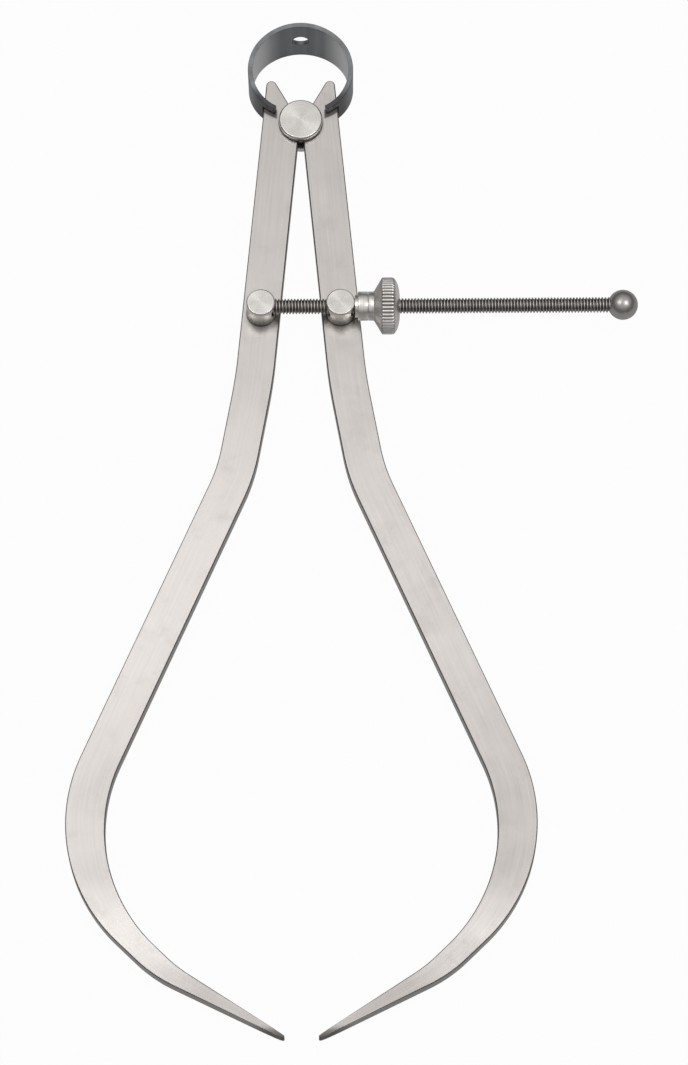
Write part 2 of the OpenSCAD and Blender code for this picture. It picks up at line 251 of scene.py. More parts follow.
@dataclass(frozen=True)
class BrushedSteel:
    """Satin steel, brushed along the leg. The map's u runs across the leg and v along it, in millimetres."""

    light: Colour = (0.88, 0.835, 0.80)
    dark: Colour = (0.55, 0.519, 0.497)
    stain: Colour = (0.50, 0.455, 0.42)
    # Colour of painted shade on the leg: round the roller, studs and prongs, on sides and chamfers, and at the
    # tip
    painted_shade: Colour = (0.15, 0.14, 0.13)
    gloss: float = 0.31
    spread: float = 0.09
    line_w: float = 0.13
    line_l: float = 24.0
    wall_share: float = 0.6
    horn_low: float = 27.0
    tip_depth: float = 335.2
    tip_shade: Point = (5.0, 1.5)
    shade_w: float = 0.5
    seats: Tuple[Tuple[float, float, float], ...] = (
        (0.0, FULCRUM_Y, 7.0),
        (STUD_X, STUD_Y, 4.55),
        (-STUD_X, STUD_Y, 4.55),
    )
    base_tone: float = 0.33
    # Painted highlight and shade along the leg: start depth, end depth and change of tone
    painted_sheen_bands: Tuple[Tuple[float, float, float], ...] = (
        (108.0, 175.0, 0.26),
        (205.0, 265.0, -0.36),
        (282.0, 302.0, 0.52),
        (304.0, 324.0, -0.72),
    )
    prong_arc: Tuple[float, float, float] = (2.1, -15.8, 14.7)
    prong_w: float = 1.25
    prong_x: float = 7.9

    def material(self, name: str) -> bpy.types.Material:
        """The finish as a material."""
        made, paint = new_material(name)
        lay = paint.wire(paint.node("ShaderNodeTexCoord"), "UV")
        across, along, _ = paint.split(lay)
        fine = paint.noise(paint.join(across * (1 / self.line_w), along * (1 / self.line_l)), 1.0, 2.0)
        streak = paint.noise(paint.join(across * 1.3, along * 0.03), 1.0, 3.0, 0.6)
        spot = paint.place()
        cloud = paint.noise(spot, 0.06, 4.0, 0.6)
        x, y, _ = paint.split(spot)
        depth = -1.0 * y
        tone = self.base_tone + (fine - 0.5) * 0.4 + (streak - 0.5) * 0.42 + (cloud - 0.5) * 0.4
        # Painted highlight and shade along the leg: the shank and the instep are painted brighter than the
        # blade, the foot and the toe
        for start, end, change in self.painted_sheen_bands:
            tone = tone + paint.ramp(depth, start, end) * change
        rough = paint.clamp(self.gloss + (streak - 0.5) * 0.08 + (cloud - 0.5) * 0.12, 0.12, 0.6)
        steel = paint.mix(paint.clamp(tone), self.dark, self.light)
        blot = paint.ramp(paint.noise(spot, 0.11, 4.0, 0.65), 0.5, 0.75)
        steel = paint.mix(blot * 0.3, steel, self.stain)
        # Painted shade darkens the tip's end, which is also made rougher
        tip_from, tip_to = self.tip_shade
        tip = paint.ramp(depth, self.tip_depth - tip_from, self.tip_depth - tip_to)
        steel = paint.mix(tip * 0.75, steel, self.painted_shade)
        rough = rough + tip * 0.35
        # Painted shade round where the roller, the studs and the bow sit, and on the leg's sides, chamfers and
        # the horn's outer edge
        right, _, up = paint.facing()
        level = paint.math("ABSOLUTE", up)
        horn = (1.0 - paint.ramp(depth, self.horn_low - 1.5, self.horn_low)) * paint.ramp(right * x, 2.0, 5.0)
        share = self.wall_share + horn * (1.0 - self.wall_share)
        steel = paint.mix((1.0 - paint.ramp(level, 0.72, 0.92)) * share, steel, self.painted_shade)
        for seat_x, seat_y, seat_r in self.seats:
            away = paint.math("SQRT", (x - seat_x) * (x - seat_x) + (y - seat_y) * (y - seat_y))
            contact_shade = 1.0 - paint.ramp(away, seat_r - 0.1, seat_r + self.shade_w)
            steel = paint.mix(contact_shade * 0.85, steel, self.painted_shade)
        # Painted shade on the leg along the bow's prongs, where the notch lies in shadow
        wide = paint.math("ABSOLUTE", x)
        arc_x, arc_y, arc_r = self.prong_arc
        away = paint.math("SQRT", (wide - arc_x) * (wide - arc_x) + (y - arc_y) * (y - arc_y)) - arc_r
        contact_shade = 1.0 - paint.ramp(paint.math("ABSOLUTE", away), self.prong_w, self.prong_w + self.shade_w)
        steel = paint.mix(contact_shade * paint.ramp(wide, self.prong_x - 0.6, self.prong_x) * 0.9, steel, self.painted_shade)
        # The brushed lines tilt the surface to and fro across the leg, never along it
        tangent = paint.wire(paint.node("ShaderNodeTangent", {"direction_type": "UV_MAP", "uv_map": "lay"}))
        normal = paint.wire(paint.node("ShaderNodeNewGeometry"), "Normal")
        tilt = paint.scale(tangent, (fine - 0.5) * self.spread * paint.ramp(level, 0.9, 0.98))
        brushed = paint.vector("NORMALIZE", paint.vector("ADD", normal, tilt))
        paint.metal(Base_Color=steel, Roughness=rough, Normal=brushed)
        return made


@dataclass(frozen=True)
class TurnedSteel:
    """Steel from the lathe: fine rings round the axis on faces and sides.

    Painted shade lies between two heights where they are given, and in a knurl's grooves where its crest's
    radius is given.
    """

    light: Colour = (0.86, 0.825, 0.795)
    dark: Colour = (0.62, 0.595, 0.57)
    # Colour of painted shade on the sides near the leg and in a knurl's grooves
    painted_shade: Colour = (0.10, 0.095, 0.09)
    gloss: float = 0.27
    ring_depth: float = 0.012
    anisotropy: float = 0.75
    shade_from: Point = (2.3, 2.6)
    shade_low: float = 0.0
    shade_high: float = 0.0
    crest_r: float = 0.0
    rim_start: Point = (3.7, 4.3)
    rim_end: Point = (7.4, 8.4)
    groove_d: Point = (0.36, 0.06)

    def material(self, name: str, centre: Sequence[float], axis: Axis) -> bpy.types.Material:
        """The finish as a material.

        Args:
            name: the material's name.
            centre: a point of the piece's axis, in millimetres of the shared frame.
            axis: the way of the axis.

        Returns:
            The material.
        """
        made, paint = new_material(name)
        spot = paint.place(centre)
        x, y, z = paint.split(spot)
        a, b, along = (x, y, z) if axis is Axis.ALONG_Z else (y, z, x)
        radius = paint.math("SQRT", a * a + b * b)
        lathe = radius + along
        ring = paint.noise_along(lathe, 2.6, 3.0)
        thin = paint.noise_along(lathe, 14.0, 2.0)
        cloud = paint.noise(spot, 0.35, 3.0)
        tone = paint.clamp(0.5 + (ring - 0.5) * 0.8 + (thin - 0.5) * 0.6 + (cloud - 0.5) * 0.4)
        rough = paint.clamp(self.gloss + (thin - 0.5) * 0.14 + (cloud - 0.5) * 0.12, 0.1, 0.7)
        bump = paint.bump(ring + thin * 0.4, self.ring_depth, 0.6)
        steel = paint.mix(tone, self.dark, self.light)
        # Painted shade on the sides, darker towards the leg, where they are also made rougher
        if self.shade_high > self.shade_low:
            low = 1.0 - paint.ramp(along + (cloud - 0.5) * 0.6, self.shade_low, self.shade_high)
            low = low * paint.ramp(along, *self.shade_from)
            steel = paint.mix(low * 0.85, steel, self.painted_shade)
            rough = rough + low * 0.3
        # Painted shade in the knurl's grooves
        if self.crest_r > 0.0:
            rim = paint.ramp(along, *self.rim_start) * (1.0 - paint.ramp(along, *self.rim_end))
            deep, shallow = self.groove_d
            groove = (1.0 - paint.ramp(radius, self.crest_r - deep, self.crest_r - shallow)) * rim
            steel = paint.mix(groove * 0.8, steel, self.painted_shade)
        paint.metal(Base_Color=steel, Roughness=rough, Normal=bump, Anisotropic=self.anisotropy)
        return made


@dataclass(frozen=True)
class SpringSteel:
    """Dark, oxidised spring strip, drawn along its length. The map's u runs across it and v along it."""

    light: Colour = (0.27, 0.275, 0.285)
    dark: Colour = (0.14, 0.144, 0.152)
    # Colour of the painted reflection inside the ring
    wear_and_sheen: Colour = (0.80, 0.80, 0.80)
    # Colour of painted shade at the fork ends
    end_shade: Colour = (0.06, 0.06, 0.065)
    gloss: float = 0.38
    middle_y: float = -15.8
    inside_d: Point = (4.0, 11.0)
    sheen_x: Point = (6.0, 16.0)
    end_shade_depth: Point = (20.5, 25.5)

    def material(self, name: str) -> bpy.types.Material:
        """The finish as a material."""
        made, paint = new_material(name)
        across, along, _ = paint.split(paint.wire(paint.node("ShaderNodeTexCoord"), "UV"))
        drawn = paint.noise(paint.join(across * 5.0, along * 0.12), 1.0, 3.0)
        spot = paint.place()
        cloud = paint.noise(spot, 0.28, 4.0, 0.6)
        band = paint.noise_along(along, 0.22, 2.0)
        tone = paint.clamp(0.5 + (drawn - 0.5) * 0.5 + (cloud - 0.5) * 0.6 + (band - 0.5) * 1.1)
        # A painted reflection lightens the inside of the ring on both sides of the crown
        x, y, _ = paint.split(spot)
        right, back, _ = paint.facing()
        inside = paint.ramp(-1.0 * (right * x + back * (y - self.middle_y)), *self.inside_d)
        inside_sheen = inside * paint.ramp(paint.math("ABSOLUTE", x), *self.sheen_x)
        steel = paint.mix(inside_sheen * 0.9, paint.mix(tone, self.dark, self.light), self.wear_and_sheen)
        # Painted shade darkens the strap towards the fork ends
        steel = paint.mix(paint.ramp(-1.0 * y, *self.end_shade_depth) * 0.9, steel, self.end_shade)
        rough = paint.clamp(self.gloss + (cloud - 0.5) * 0.2 + (drawn - 0.5) * 0.1, 0.12, 0.7)
        bump = paint.bump(drawn, 0.006, 0.3)
        paint.metal(Base_Color=steel, Roughness=rough, Normal=bump)
        return made


@dataclass(frozen=True)
class BlackSteel:
    """Blackened thread with a little bare metal on its crests."""

    oxide: Colour = (0.20, 0.185, 0.17)
    bare: Colour = (0.72, 0.68, 0.635)
    gloss: float = 0.34

    def material(self, name: str, centre: Sequence[float], crest_r: float) -> bpy.types.Material:
        """The finish as a material.

        Args:
            name: the material's name.
            centre: a point of the screw's axis, in millimetres.
            crest_r: radius over the thread, in millimetres.

        Returns:
            The material.
        """
        made, paint = new_material(name)
        spot = paint.place(centre)
        _, y, z = paint.split(spot)
        radius = paint.math("SQRT", y * y + z * z)
        crest = paint.ramp(radius, crest_r - 0.16, crest_r + 0.01)
        patch = paint.noise(spot, 0.5, 4.0, 0.6)
        grit = paint.noise(spot, 6.0, 2.0)
        # Bare metal where the thread's crests are worn
        wear_and_sheen = paint.clamp(crest * (0.62 + (patch - 0.4) * 0.9))
        rough = paint.clamp(self.gloss + (grit - 0.5) * 0.25, 0.15, 0.7)
        bump = paint.bump(grit, 0.01, 0.35)
        paint.metal(Base_Color=paint.mix(wear_and_sheen, self.oxide, self.bare), Roughness=rough, Normal=bump)
        return made


@dataclass(frozen=True)
class PolishedSteel:
    """A polished ball with a trace of its rings and of handling."""

    light: Colour = (0.48, 0.456, 0.438)
    dark: Colour = (0.35, 0.333, 0.32)
    gloss: float = 0.345

    def material(self, name: str, centre: Sequence[float]) -> bpy.types.Material:
        """The finish as a material, about a centre in millimetres."""
        made, paint = new_material(name)
        spot = paint.place(centre)
        x, _, _ = paint.split(spot)
        ring = paint.noise_along(x, 5.0, 3.0)
        cloud = paint.noise(spot, 0.6, 4.0, 0.6)
        tone = paint.clamp(0.5 + (ring - 0.5) * 0.6 + (cloud - 0.5) * 0.8)
        rough = paint.clamp(self.gloss + (cloud - 0.5) * 0.14, 0.05, 0.5)
        bump = paint.bump(ring, 0.006, 0.4)
        paint.metal(Base_Color=paint.mix(tone, self.dark, self.light), Roughness=rough, Normal=bump)
        return made


# Modelling by operators


def only(piece: bpy.types.Object) -> bpy.types.Object:
    """Selects one piece alone and makes it active."""
    bpy.ops.object.select_all(action="DESELECT")
    piece.select_set(True)
    bpy.context.view_layer.objects.active = piece
    return piece


def fresh() -> None:
    """Deselects everything before a primitive is added."""
    bpy.ops.object.select_all(action="DESELECT")


def apply(piece: bpy.types.Object, kind: str, **settings: object) -> None:
    """Adds a modifier with its settings and applies it.

    Args:
        piece: the piece.
        kind: the modifier's type.
        settings: its settings.
    """
    only(piece)
    modifier = piece.modifiers.new(kind.lower(), kind)
    for key, value in settings.items():
        setattr(modifier, key, value)
    bpy.ops.object.modifier_apply(modifier=modifier.name)


def settle(piece: bpy.types.Object) -> None:
    """Puts a piece's place, turn and scale into its mesh."""
    only(piece)
    bpy.ops.object.transform_apply(location=True, rotation=True, scale=True)


def outward(piece: bpy.types.Object) -> None:
    """Merges doubles and turns all faces outwards."""
    only(piece)
    bpy.ops.object.mode_set(mode="EDIT")
    bpy.ops.mesh.select_all(action="SELECT")
    bpy.ops.mesh.remove_doubles(threshold=MERGE)
    bpy.ops.mesh.normals_make_consistent(inside=False)
    bpy.ops.object.mode_set(mode="OBJECT")


@contextmanager
def reshaped(piece: bpy.types.Object) -> Iterator[bmesh.types.BMesh]:
    """Opens a piece's mesh for changes, and puts it back."""
    shape = bmesh.new()
    shape.from_mesh(piece.data)
    yield shape
    shape.to_mesh(piece.data)
    shape.free()


def smooth(piece: bpy.types.Object, angle_deg: float) -> None:
    """Shades a piece smoothly, except over edges sharper than an angle."""
    only(piece)
    bpy.ops.object.shade_smooth_by_angle(angle=math.radians(angle_deg))


def break_edges(piece: bpy.types.Object, width_mm: float, segments: int = 2, angle_deg: float = 35.0) -> None:
    """Rounds a piece's sharp edges a little."""
    apply(
        piece,
        "BEVEL",
        width=width_mm * MM,
        segments=segments,
        limit_method="ANGLE",
        angle_limit=math.radians(angle_deg),
        use_clamp_overlap=False,
    )


def turned(name: str, section: Section, steps: int, bored: bool) -> bpy.types.Object:
    """Turns a section round Z, ring by ring.

    Args:
        name: the piece's name.
        section: radius and height of each ring, in millimetres, in order along the surface.
        steps: corners of a ring.
        bored: whether the last ring closes on the first, round a bore; both ends are capped otherwise.

    Returns:
        The piece, at the origin.
    """
    fresh()
    radius, height = section[0]
    bpy.ops.mesh.primitive_circle_add(vertices=steps, radius=radius * MM, fill_type="NOTHING")
    piece = bpy.context.object
    piece.name = name
    bpy.ops.object.mode_set(mode="EDIT")
    bpy.ops.mesh.select_all(action="SELECT")
    bpy.ops.transform.translate(value=(0, 0, height * MM))
    if not bored:
        bpy.ops.mesh.edge_face_add()
    for next_radius, next_height in section[1:]:
        bpy.ops.mesh.extrude_edges_move(TRANSFORM_OT_translate={"value": (0, 0, (next_height - height) * MM)})
        growth = next_radius / radius
        bpy.ops.transform.resize(value=(growth, growth, 1.0), center_override=(0, 0, next_height * MM))
        radius, height = next_radius, next_height
    if not bored:
        bpy.ops.mesh.edge_face_add()
    bpy.ops.object.mode_set(mode="OBJECT")
    outward(piece)
    return piece


def bring(piece: bpy.types.Object, centre: Sequence[float], axis: Axis) -> None:
    """Carries a turned piece from the origin to its place, with its Z along the axis."""
    if axis is Axis.ALONG_X:
        piece.rotation_euler = (0.0, math.pi / 2, 0.0)
    piece.location = Vector(centre) * MM
    settle(piece)


def drill(
    piece: bpy.types.Object,
    middle: Sequence[float],
    length: float,
    radius: float,
    turn: Sequence[float],
    steps: int,
) -> None:
    """Drills a round hole.

    Args:
        piece: the piece.
        middle: the middle of the hole's axis, in millimetres.
        length: its length.
        radius: its radius.
        turn: the turn that brings Z into its axis.
        steps: corners of its ring.
    """
    fresh()
    bpy.ops.mesh.primitive_cylinder_add(
        vertices=steps,
        radius=radius * MM,
        depth=length * MM,
        location=Vector(middle) * MM,
        rotation=turn,
    )
    cutter = bpy.context.object
    settle(cutter)
    apply(piece, "BOOLEAN", object=cutter, operation="DIFFERENCE", solver="EXACT")
    bpy.data.objects.remove(cutter)


def cut(piece: bpy.types.Object, spot: Sequence[float], way: Sequence[float], keep_far: bool) -> None:
    """Cuts a piece by a plane, keeps one side of it and closes the cut.

    Args:
        piece: the piece.
        spot: a point of the plane, in millimetres.
        way: the plane's normal.
        keep_far: whether the side that the normal points to stays.
    """
    only(piece)
    bpy.ops.object.mode_set(mode="EDIT")
    bpy.ops.mesh.select_all(action="SELECT")
    bpy.ops.mesh.bisect(
        plane_co=[v * MM for v in spot],
        plane_no=way,
        use_fill=True,
        clear_inner=keep_far,
        clear_outer=not keep_far,
        threshold=1e-7,
    )
    bpy.ops.object.mode_set(mode="OBJECT")


Placing = Callable[[int, int], Tuple[Vector, Point]]


def laid_grid(name: str, columns: int, rows: int, placing: Placing) -> bpy.types.Object:
    """Lays a grid over a face and gives it a map that follows the face.

    Args:
        name: the piece's name.
        columns: cells across.
        rows: cells along.
        placing: gives a corner's place in metres, and its across and along in millimetres.

    Returns:
        The piece.
    """
    fresh()
    bpy.ops.mesh.primitive_grid_add(x_subdivisions=columns, y_subdivisions=rows, size=1.0, calc_uvs=True)
    piece = bpy.context.object
    piece.name = name
    with reshaped(piece) as shape:
        lay = shape.loops.layers.uv.active
        made = {}
        for corner in shape.verts:
            i, j = round((corner.co.x + 0.5) * columns), round((corner.co.y + 0.5) * rows)
            made[corner] = placing(i, j)
        for face in shape.faces:
            for loop in face.loops:
                loop[lay].uv = made[loop.vert][1]
        for corner, (spot, _) in made.items():
            corner.co = spot
        bmesh.ops.recalc_face_normals(shape, faces=shape.faces)
    piece.data.uv_layers.active.name = "lay"
    return piece


def dress(piece: bpy.types.Object, material: bpy.types.Material) -> None:
    """Gives a piece its one material."""
    piece.data.materials.clear()
    piece.data.materials.append(material)
    LOG.info("%s: %d faces", piece.name, len(piece.data.polygons))


# Leg outline, as in the part's source


def vec(x: float, y: float) -> Vector:
    """A point of a flat sketch."""
    return Vector((x, y))


def down(lean: float) -> Vector:
    """The way down a line that leans outwards by an angle."""
    return vec(math.sin(math.radians(lean)), -math.cos(math.radians(lean)))


def inwards(lean: float) -> Vector:
    """The way across such a line, to the middle plane."""
    return vec(-math.cos(math.radians(lean)), -math.sin(math.radians(lean)))


def cross(a: Vector, b: Vector) -> float:
    """The flat cross product."""
    return a.x * b.y - a.y * b.x


def meet(p: Vector, p_lean: float, q: Vector, q_lean: float) -> Vector:
    """The point where two leaning lines meet."""
    return p + down(p_lean) * (cross(q - p, down(q_lean)) / cross(down(p_lean), down(q_lean)))


def below(p: Vector, lean: float, depth: float) -> Vector:
    """The point of a leaning line at a depth."""
    return p + down(lean) * ((depth + p.y) / math.cos(math.radians(lean)))


def lean_of(p: Vector, q: Vector) -> float:
    """The lean of the line from p down to q."""
    return math.degrees(math.atan2(q.x - p.x, p.y - q.y))


def straight(p: Vector, q: Vector, cells: int) -> List[Vector]:
    """Points from p on the way to q, without q."""
    return [p.lerp(q, i / cells) for i in range(cells)]


def arc(centre: Vector, start: float, end: float, radius: float, cells: int) -> List[Vector]:
    """Points along an arc in degrees, without its end."""
    turns = [math.radians(start + (end - start) * i / cells) for i in range(cells)]
    return [centre + vec(math.cos(a), math.sin(a)) * radius for a in turns]


def lengths(points: Sequence[Vector]) -> List[float]:
    """How far along a line each of its points lies."""
    along = [0.0]
    for p, q in zip(points, points[1:]):
        along.append(along[-1] + (q - p).length)
    return along


@dataclass
class Corner:
    """A rounded corner of an outline: where its curve starts and ends, and the curve."""

    before: Vector
    at: Vector
    after: Vector
    radius: float

    def __post_init__(self) -> None:
        """Works out the curve."""
        a, b = (self.before - self.at).normalized(), (self.after - self.at).normalized()
        half = a.angle(b) / 2
        self.centre = self.at + (a + b).normalized() * (self.radius / math.sin(half))
        self.start = self.at + a * (self.radius / math.tan(half))
        self.end = self.at + b * (self.radius / math.tan(half))
        turn = math.copysign(180 - 2 * math.degrees(half), cross(b, a))
        first = self.start - self.centre
        self.from_deg = math.degrees(math.atan2(first.y, first.x))
        self.to_deg = self.from_deg + turn

    def curve(self, cells: int, low: float = 0.0, high: float = 1.0) -> List[Vector]:
        """Points along a share of the curve, without its end."""
        span = self.to_deg - self.from_deg
        start, end = self.from_deg + span * low, self.from_deg + span * high
        return arc(self.centre, start, end, self.radius, cells)


@dataclass
class Legs:
    """The two bowed legs."""

    reach: float = 302.8
    tip_gap: float = 10.2
    tip_r: float = 0.5
    tip_l: float = 4.0
    tip_share: float = 0.45
    leg_w: float = 12.0
    leg_t: float = LEG_T
    blade_gap: float = 0.6
    blade_lean: float = 5.3
    bend_top: float = 89.0
    bend_lean: float = 10.1
    bend_low: float = 120.0
    shank_lean: float = 23.4
    foot_depth: float = 247.7
    instep_w: float = 7.2
    toe_l: float = 42.4
    toe_bow: float = 7.65
    toe_lag: float = 3.2
    bend_r_top: float = 160.0
    bend_r_low: float = 54.0
    foot_r_out: float = 52.5
    foot_r_in: float = 51.5
    toe_r: float = 45.0
    capacity: float = 300.0
    horn_r: float = 1.65
    stop_gap: float = 0.3
    core_d: float = CORE_D
    run_c: float = 0.05
    notch_r: float = 1.1
    side_x: float = 2.1
    side_mid_r: float = 14.15
    bow_rise: float = BOW_RISE
    edge_r: float = 0.32
    edge_fade: float = 14.0
    columns: int = 8
    map_shift: float = 40.0
    finish: BrushedSteel = field(default_factory=BrushedSteel)

    def edges(self) -> Tuple[List[Vector], List[Vector], int]:
        """Both edges of the right leg from the horn to the tip, with as many points each.

        Returns:
            The outer and the inner edge, in millimetres from the fulcrum, and the row below the head.
        """
        tip_c = vec(self.tip_gap / 2 + self.tip_r, self.tip_r - self.reach)
        tip_in = tip_c - vec(self.tip_r, 0)
        swing = math.degrees(math.asin(self.capacity / 2 / tip_in.length) - math.atan2(tip_in.x, -tip_in.y))
        lean = self.blade_lean
        edge_o = vec(self.blade_gap / 2 + self.leg_w / math.cos(math.radians(lean)), 0)
        edge_i = vec(self.blade_gap / 2, 0)
        bend_top_o = below(edge_o, lean, self.bend_top)
        bend_low_o = below(bend_top_o, self.bend_lean, self.bend_low)
        foot_o = below(bend_low_o, self.shank_lean, self.foot_depth)
        bend_in = bend_top_o + inwards(self.bend_lean) * self.leg_w
        shank_in = bend_low_o + inwards(self.shank_lean) * self.leg_w
        bend_top_i = meet(edge_i, lean, bend_in, self.bend_lean)
        bend_low_i = meet(bend_in, self.bend_lean, shank_in, self.shank_lean)
        way = (tip_c - foot_o).normalized()
        instep_o = tip_c - way * self.toe_l + vec(-way.y, way.x) * self.toe_bow
        instep_lean = lean_of(foot_o, instep_o)
        instep_i = instep_o + inwards(instep_lean) * self.instep_w + down(instep_lean) * self.toe_lag
        foot_i = meet(shank_in, self.shank_lean, instep_i, instep_lean)
        close_o = math.degrees(math.asin(self.tip_r / (tip_c - instep_o).length))
        close_i = math.degrees(math.asin(self.tip_r / (tip_c - instep_i).length))
        tip = meet(instep_o, lean_of(instep_o, tip_c) + close_o, instep_i, lean_of(instep_i, tip_c) - close_i)
        horn_way = vec(math.sin(math.radians(swing)), math.cos(math.radians(swing)))
        horn_root = horn_way * (self.core_d / 4) + vec(horn_way.y, -horn_way.x) * (self.stop_gap / 2)
        horn_end = meet(edge_o, lean, horn_root, 180 - swing)
        horn = Corner(horn_root, horn_end, bend_top_o, self.horn_r)
        tips = Corner(instep_o, tip, instep_i, self.tip_r)
        # The notch on the outer edge, and the seat round the roller's core on the inner one
        from_side = edge_o - vec(self.side_x, self.bow_rise)
        fall = from_side.dot(down(lean))
        notch_c = edge_o - down(lean) * (fall - math.sqrt(fall**2 - from_side.length**2 + self.side_mid_r**2))
        seat_r = self.core_d / 2 + self.run_c
        offset = cross(horn_root, horn_way)
        seat_top = horn_root + horn_way * (math.sqrt(seat_r**2 - offset**2) - horn_root.dot(horn_way))
        low_x = edge_i.x + math.tan(math.radians(lean)) * seat_r
        seat_low = vec(low_x, -math.sqrt(seat_r**2 - low_x**2))
        seat_from = math.degrees(math.atan2(seat_top.y, seat_top.x))
        seat_to = math.degrees(math.atan2(seat_low.y, seat_low.x))
        notch_up = notch_c - down(lean) * self.notch_r
        notch_low = notch_c + down(lean) * self.notch_r
        seat_level = below(edge_o, lean, -seat_low.y)
        outer = horn.curve(8, 0.5, 1.0)
        inner = [p for p in reversed(horn.curve(8, 0.0, 0.5) + [horn.curve(2)[1]])][:-1]
        horn_cells, notch_cells, seat_cells = 12, 16, 8
        level = horn.end.lerp(notch_up, 0.8)
        outer += straight(horn.end, level, horn_cells)
        inner += straight(horn.start, seat_top, horn_cells)
        outer += straight(level, notch_up, 2) + arc(notch_c, 90 + lean, 270 + lean, self.notch_r, notch_cells)
        outer += straight(notch_low, seat_level, seat_cells)
        inner += arc(vec(0, 0), seat_from, seat_to, seat_r, 2 + notch_cells + seat_cells)
        outside = [(bend_top_o, self.bend_r_top, 10), (bend_low_o, self.bend_r_low, 14)]
        outside += [(foot_o, self.foot_r_out, 44), (instep_o, self.toe_r, 14), (tip, self.tip_r, 0)]
        inside = [(bend_top_i, self.bend_r_top + self.leg_w, 10)]
        inside += [(bend_low_i, self.bend_r_low + self.leg_w, 14)]
        inside += [(foot_i, self.foot_r_in, 44), (instep_i, self.toe_r, 14), (tip, self.tip_r, 0)]
        spans, head = [46, 12, 60, 10, 24], len(outer)
        outer += self.run_down(seat_level, edge_o, outside, spans, tips.start)
        inner += self.run_down(seat_low, edge_i, inside, spans, tips.end)
        outer += tips.curve(8, 0.0, 0.5) + [tips.curve(2)[1]]
        inner += [p for p in reversed(tips.curve(8, 0.5, 1.0) + [tips.end])][:-1] + [tips.curve(2)[1]]
        return outer, inner, head

    @staticmethod
    def run_down(
        start: Vector,
        first: Vector,
        corners: Sequence[Tuple[Vector, float, int]],
        spans: Sequence[int],
        end: Vector,
    ) -> List[Vector]:
        """Points down one edge, straight runs and curves in turn.

        Args:
            start: where the edge starts.
            first: the corner before the first one, which gives the edge's way.
            corners: place, radius and cells of each corner, with the tip last.
            spans: cells of the straight runs.
            end: where the last run ends.

        Returns:
            The points, without the end.
        """
        points: List[Vector] = []
        here, before = start, first
        for (at, radius, cells), (after, _, _), span in zip(corners, corners[1:], spans):
            corner = Corner(before, at, after, radius)
            points += straight(here, corner.start, span) + corner.curve(cells)
            here, before = corner.end, at
        return points + straight(here, end, spans[-1])

    def build(self, side: Side, name: str) -> bpy.types.Object:
        """Models one leg.

        Args:
            side: which leg.
            name: the piece's name.

        Returns:
            The piece.
        """
        outer, inner, head = self.edges()
        middle = [(a + b) / 2 for a, b in zip(outer, inner)]
        along = lengths(middle)

        def placing(i: int, j: int) -> Tuple[Vector, Point]:
            """A corner of the face, across from the outer edge and down from the horn."""
            flat = outer[j].lerp(inner[j], i / self.columns)
            across = (outer[j] - inner[j]).length * (i / self.columns - 0.5)
            spot = Vector((side.value * flat.x, flat.y + FULCRUM_Y, 0.0)) * MM
            return spot, (across + side.value * self.map_shift, along[j])

        piece = laid_grid(name, self.columns, len(outer) - 1, placing)
        self.join_head(piece, side, along[head], middle[head])
        apply(piece, "SOLIDIFY", thickness=self.leg_t * MM, offset=0.0, use_even_offset=False)
        outward(piece)
        self.ease_edges(piece)
        self.round_tip(piece)
        self.map_sides(piece)
        smooth(piece, 30.0)
        return piece

    def join_head(self, piece: bpy.types.Object, side: Side, start: float, middle: Vector) -> None:
        """Makes the horn and the seat one flat face, because cells from the notch to the seat would fold.

        Args:
            piece: the leg's flat face.
            side: which leg.
            start: where the blade's cells start along the leg.
            middle: the blade's middle there.
        """
        lean = self.blade_lean
        with reshaped(piece) as shape:
            lay = shape.loops.layers.uv.active
            bmesh.ops.remove_doubles(shape, verts=shape.verts, dist=MERGE)
            cells = [f for f in shape.faces if sum(loop[lay].uv.y for loop in f.loops) < start * len(f.loops)]
            for face in bmesh.ops.dissolve_faces(shape, faces=cells)["region"]:
                for loop in face.loops:
                    spot = loop.vert.co / MM
                    flat = vec(side.value * spot.x, spot.y - FULCRUM_Y) - middle
                    across = flat.dot(inwards(lean)) + side.value * self.map_shift
                    loop[lay].uv = (across, start + flat.dot(down(lean)))

    def ease_edges(self, piece: bpy.types.Object) -> None:
        """Breaks the edges of both flat faces, ever less towards the tip, which is as narrow as a pin."""
        low = FULCRUM_Y - self.reach + 3 * self.tip_r
        with reshaped(piece) as shape:
            weight = shape.edges.layers.float.new("bevel_weight_edge")
            for edge in shape.edges:
                flats = [abs(face.normal.z) > 0.9 for face in edge.link_faces]
                if any(flats) and not all(flats):
                    rise = (edge.verts[0].co.y + edge.verts[1].co.y) / 2 / MM - low
                    edge[weight] = min(1.0, max(0.0, rise / self.edge_fade))
        apply(
            piece,
            "BEVEL",
            width=self.edge_r * MM,
            segments=1,
            limit_method="WEIGHT",
            use_clamp_overlap=False,
        )

    def round_tip(self, piece: bpy.types.Object) -> None:
        """Thins the leg to a blunt round end over the last of its length."""
        low = FULCRUM_Y - self.reach
        for corner in piece.data.vertices:
            left = max(0.0, 1.0 - (corner.co.y / MM - low) / self.tip_l)
            corner.co.z *= self.tip_share + (1.0 - self.tip_share) * math.sqrt(max(0.0, 1.0 - left**2))

    @staticmethod
    def map_sides(piece: bpy.types.Object) -> None:
        """Lets the map run over the leg's thickness on its sides, and cuts the head's faces into triangles."""
        with reshaped(piece) as shape:
            lay = shape.loops.layers.uv.active
            for face in shape.faces:
                if abs(face.normal.z) < 0.5:
                    for loop in face.loops:
                        loop[lay].uv.x = loop.vert.co.z / MM
            bmesh.ops.triangulate(shape, faces=[face for face in shape.faces if len(face.verts) > 4])

